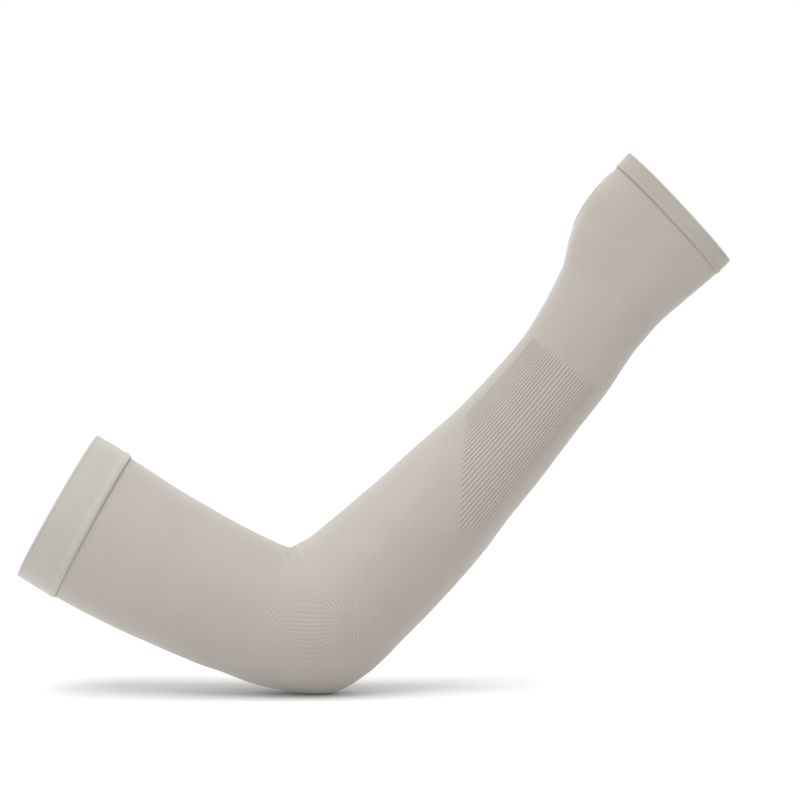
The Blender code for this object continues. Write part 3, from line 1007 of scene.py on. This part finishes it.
# Painted light on the hem: a highlight along its fold and painted shade beside it, then painted
# shade beside its seam.
HEM_FOLD_PAINTED_LIGHT_LINES = (Line(0.0002, 0.0010, 0.42), Line(0.0017, 0.0008, -0.10))
HEM_SEAM_PAINTED_SHADE = (Line(HEM_WIDTH + 0.0001, 0.0012, -0.30),)


def streaks(finish):
    """Fine streaks that run round, without a break at the map's seam."""
    round_share, along = round_and_along(finish)
    turn = round_share * FULL_TURN
    values = {
        0: turn.maths("COSINE") * STREAKS_ROUND,
        1: turn.maths("SINE") * STREAKS_ROUND,
        2: along * STREAKS_ALONG,
    }
    return speckle(finish, finish.node("ShaderNodeCombineXYZ", None, values), 1.0, 2.0)


def cuff_pattern(finish):
    """Painted highlight and shade at the cuff's fold, a painted highlight on its seam ridge, and
    its streaks.
    """
    lines = lines_across(round_and_along(finish)[1], CUFF_PAINTED_LIGHT_LINES)
    return lines + streaks(finish) * STREAKS_TONE


def hem_pattern(finish):
    """Painted highlight and shade at the hem's fold, and painted shade beside its seam on the
    thumb's side.
    """
    from_edge = SLEEVE_LENGTH - round_and_along(finish)[1]
    seam = lines_across(from_edge, HEM_SEAM_PAINTED_SHADE) * crook_side(finish)
    return lines_across(from_edge, HEM_FOLD_PAINTED_LIGHT_LINES) + seam + hand_rows(finish)


cuff_material = knit_finish("cuff_jersey", CUFF_LOW, CUFF_HIGH, cuff_pattern)
hem_material = knit_finish("hem_jersey", HEM_LOW, HEM_HIGH, hem_pattern)
highlit_edge_material = knit_finish("edge_yarn_painted_highlight", EDGE_PAINTED_HIGHLIGHT_LOW, EDGE_PAINTED_HIGHLIGHT_HIGH)
for material in (knit_material, cuff_material, hem_material, highlit_edge_material):
    print(f"{material.name}: {len(material.node_tree.links)} links")

# %% [markdown]
# ## Handing the pieces over
# Each finished piece moves with the one body of the plain model and stands for one of its nodes.
# The knit is a sheet: laid flat and slack it is smaller than it is when worn.

# %% Dress the pieces
DRESS = (
    (knit_sleeve, "sleeve_tube", "knit", knit_material),
    (folded_cuff, "cuff_band", "cuff_knit", cuff_material),
    (turned_hem, "hand_hem", "hem_knit", hem_material),
    (rolled_edge, "thumb_hole_binding", "binding_yarn", highlit_edge_material),
)
for piece, node_name, slot_name, material in DRESS:
    piece.data.materials.clear()
    piece.data.materials.append(material)
    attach(piece, "root")
    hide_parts(node_name)
    print(f"{piece.name} stands for {node_name}")

# %% [markdown]
# ## Floor, light and camera
# The sleeve is shown side on from a little above, with a long lens, over a pale floor that the
# elbow just meets. Soft light comes from the upper left, and a bright surround fills the rest.

# %% Stage
FLOOR_SIZE = 12.0
FLOOR_COLOUR = (0.79, 0.79, 0.79, 1.0)
FLOOR_ROUGHNESS = 0.9

floor_mesh = bmesh.new()
bmesh.ops.create_grid(floor_mesh, x_segments=1, y_segments=1, size=FLOOR_SIZE / 2)
bmesh.ops.translate(floor_mesh, verts=floor_mesh.verts, vec=(0.0, 0.0, plain_box[0][2]))
floor = object_from("floor", floor_mesh)
floor_material = bpy.data.materials.new("pale_floor")
floor_material.use_nodes = True
floor_surface = floor_material.node_tree.nodes["Principled BSDF"]
floor_surface.inputs["Base Color"].default_value = FLOOR_COLOUR
floor_surface.inputs["Roughness"].default_value = FLOOR_ROUGHNESS
floor.data.materials.append(floor_material)
print(f"floor at {plain_box[0][2]:.4f} m")

# %% Light
VIEW_CENTRE = Vector((0.2131, 0.0, 0.0653))
KEY_ENERGY = 2.2
KEY_SPREAD = math.radians(50.0)
KEY_FROM = Vector((-0.47, -0.96, 2.80))
SIDE_ENERGY = 1.0
SIDE_SIZE = 0.5
SIDE_FROM = Vector((-0.55, -0.55, 0.05))

scene = bpy.context.scene
scene.view_settings.view_transform = "Standard"
world = bpy.data.worlds.new("studio")
world.use_nodes = True
surround = world.node_tree.nodes["Background"]
surround.inputs["Color"].default_value = (1.0, 1.0, 1.0, 1.0)
surround.inputs["Strength"].default_value = 1.0
scene.world = world


def aim(light, place):
    """Stands a light at a place and turns it to the middle of the view."""
    holder = bpy.data.objects.new(light.name, light)
    holder.location = place
    holder.rotation_euler = (VIEW_CENTRE - holder.location).to_track_quat("-Z", "Y").to_euler()
    scene.collection.objects.link(holder)


key = bpy.data.lights.new("key", "SUN")
key.energy = KEY_ENERGY
key.angle = KEY_SPREAD
aim(key, VIEW_CENTRE + KEY_FROM)
side = bpy.data.lights.new("side", "AREA")
side.size = SIDE_SIZE
side.energy = SIDE_ENERGY
aim(side, VIEW_CENTRE + SIDE_FROM)
print(f"key {KEY_ENERGY}, side {SIDE_ENERGY}")

# %% Camera
LENS = 150.0
SENSOR = 36.0
VIEW_WIDTH = 0.496
ELEVATION = math.radians(3.5)

distance = VIEW_WIDTH * LENS / SENSOR
camera_data = bpy.data.cameras.new("camera")
camera_data.lens = LENS
camera_data.sensor_width = SENSOR
camera = bpy.data.objects.new("camera", camera_data)
back = Vector((0.0, -math.cos(ELEVATION), math.sin(ELEVATION)))
camera.location = VIEW_CENTRE + back * distance
camera.rotation_euler = (math.pi / 2 - ELEVATION, 0.0, 0.0)
scene.collection.objects.link(camera)
scene.camera = camera
print(f"camera {distance:.2f} m away, {math.degrees(ELEVATION):.1f} degrees above")

# %% Update the scene
bpy.context.view_layer.update()
